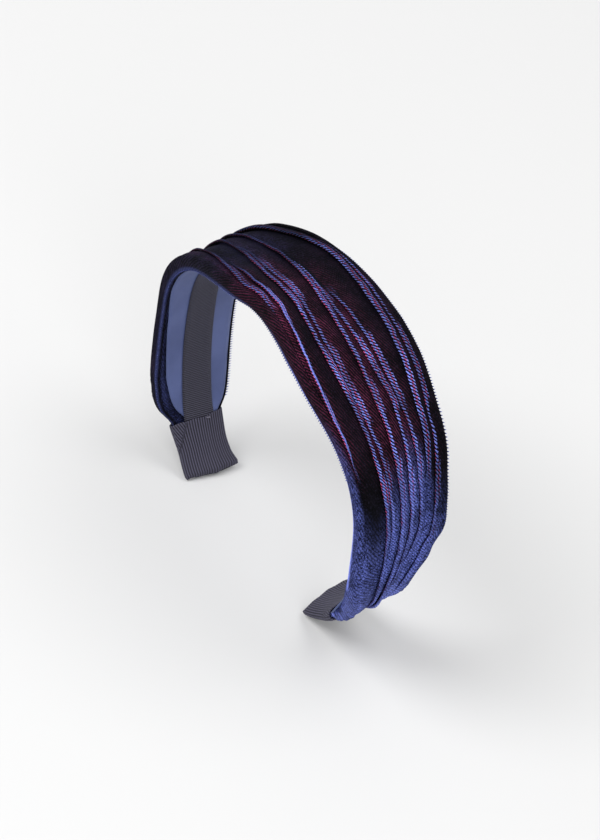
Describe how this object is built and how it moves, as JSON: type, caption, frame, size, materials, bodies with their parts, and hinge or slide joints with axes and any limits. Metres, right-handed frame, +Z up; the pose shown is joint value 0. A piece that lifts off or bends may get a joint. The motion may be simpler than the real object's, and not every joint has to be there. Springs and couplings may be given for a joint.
{
  "type": "headband",
  "caption": "Wide hard arched hair band with a lengthwise-pleated velvet cover, a satin lining, a centre ribbon and grosgrain cuffs on its tips.",
  "frame": {"origin": "on the floor under the middle of the band, midway between the two tips", "axes": "+X across the head from left tip to right tip, +Y from the front edge to the back edge, +Z up to the crown"},
  "size_m": [0.1414, 0.0472, 0.1202],
  "materials": {
    "velvet": "cross-ribbed pile velvet, near-black burgundy with a blue sheen",
    "lining_satin": "slate-blue satin lining",
    "grosgrain": "charcoal-navy ribbed grosgrain",
    "core_plastic": "moulded, matt",
    "foam": "fine soft foam",
    "thread": "twisted polyester thread"
  },
  "bodies": {
    "left_half": {"core_band_left": "core_plastic", "foam_pad_left": "foam", "velvet_cover_left": "velvet", "lining_left": "lining_satin", "centre_ribbon_left": "grosgrain", "cuff_left": "grosgrain", "gather_thread_left": "thread", "cuff_tack_left": "thread"},
    "right_half": {"core_band_right": "core_plastic", "foam_pad_right": "foam", "velvet_cover_right": "velvet", "lining_right": "lining_satin", "centre_ribbon_right": "grosgrain", "cuff_right": "grosgrain", "gather_thread_right": "thread", "cuff_tack_right": "thread"}
  },
  "joints": [
    {"name": "crown_flex", "type": "hinge", "parent": "left_half", "child": "right_half", "pos_m": [0, 0, 0.12017], "axis": [0, -1, 0], "range_deg": [0, 18], "stiffness_Nm_per_rad": 1.1}
  ]
}
